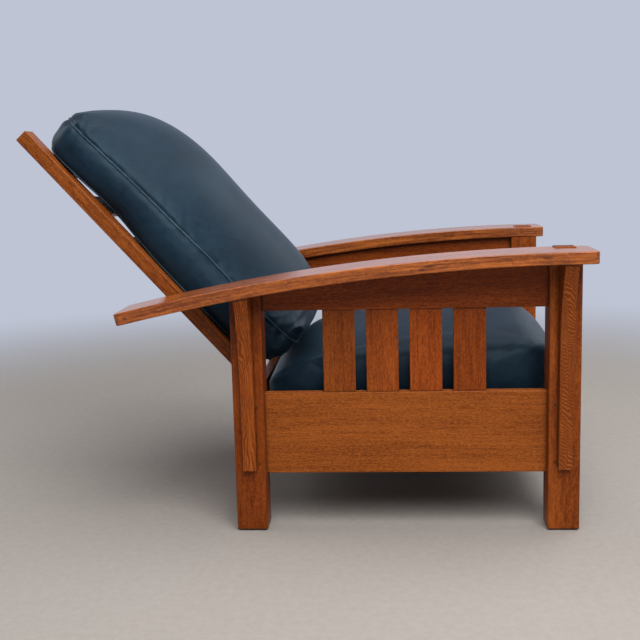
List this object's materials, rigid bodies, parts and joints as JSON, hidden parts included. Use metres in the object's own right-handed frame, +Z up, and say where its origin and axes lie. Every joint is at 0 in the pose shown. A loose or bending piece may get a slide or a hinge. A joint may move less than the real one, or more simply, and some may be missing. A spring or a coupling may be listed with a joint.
{
  "type": "reclining armchair",
  "caption": "Reclining wooden armchair with bowed arms, slatted sides, a hinged slatted back held by pegs, and loose leather cushions.",
  "frame": {"origin": "centre of the bounding box on the floor plane, with the back at its pictured recline", "axes": "+Z up, -Y towards the front of the chair, +X towards the sitter's left hand"},
  "size_m": [0.86, 1.2025, 0.9187],
  "materials": {
    "oak": "satin",
    "leather": "satin",
    "steel": "satin",
    "washer": "matte",
    "webbing": "matte"
  },
  "bodies": {
    "frame": {"leg_front_right": "oak", "corbel_front_right": "oak", "leg_rear_right": "oak", "corbel_rear_right": "oak", "arm_right": "oak", "side_rail_lower_right": "oak", "side_rail_upper_right": "oak", "side_slat_right_1": "oak", "side_slat_right_2": "oak", "side_slat_right_3": "oak", "side_slat_right_4": "oak", "deck_right": "oak", "pivot_pin_right": "steel", "pivot_washer_right": "washer", "leg_front_left": "oak", "corbel_front_left": "oak", "leg_rear_left": "oak", "corbel_rear_left": "oak", "arm_left": "oak", "side_rail_lower_left": "oak", "side_rail_upper_left": "oak", "side_slat_left_1": "oak", "side_slat_left_2": "oak", "side_slat_left_3": "oak", "side_slat_left_4": "oak", "deck_left": "oak", "pivot_pin_left": "steel", "pivot_washer_left": "washer", "rail_front": "oak", "rail_rear": "oak", "draw_pins": "oak", "deck_front": "oak", "deck_rear": "oak", "deck_webbing": "webbing", "cleat_front": "oak", "cleat_rear": "oak", "cleat_screws": "steel"},
    "back": {"back_stile_right": "oak", "back_stile_left": "oak", "back_slat_1": "oak", "back_slat_2": "oak", "back_slat_3": "oak", "back_slat_4": "oak", "back_slat_5": "oak"},
    "seat_cushion": {"seat_cushion": "leather"},
    "back_cushion": {"back_cushion": "leather"},
    "peg_right": {"support_peg_right": "oak"},
    "peg_left": {"support_peg_left": "oak"}
  },
  "joints": [
    {"name": "back_recline", "type": "hinge", "parent": "frame", "child": "back", "pos_m": [0, 0.11306, 0.326], "axis": [1, 0, 0], "range_deg": [0, 23]},
    {"name": "back_cushion_ride", "type": "slide", "parent": "back", "child": "back_cushion", "axis": [0, 0.6691, 0.7431], "range_m": [0, 0.062]},
    {"name": "seat_lift_off", "type": "slide", "parent": "frame", "child": "seat_cushion", "axis": [0, -0.9986, 0.0523], "range_m": [0, 0.25]},
    {"name": "peg_right_pull", "type": "slide", "parent": "frame", "child": "peg_right", "axis": [1, 0, 0], "range_m": [0, 0.045]},
    {"name": "peg_left_pull", "type": "slide", "parent": "frame", "child": "peg_left", "axis": [-1, 0, 0], "range_m": [0, 0.045]}
  ],
  "couplings": [
    {"joint": "back_cushion_ride", "follows": "back_recline", "m_per_rad": 0.15}
  ]
}
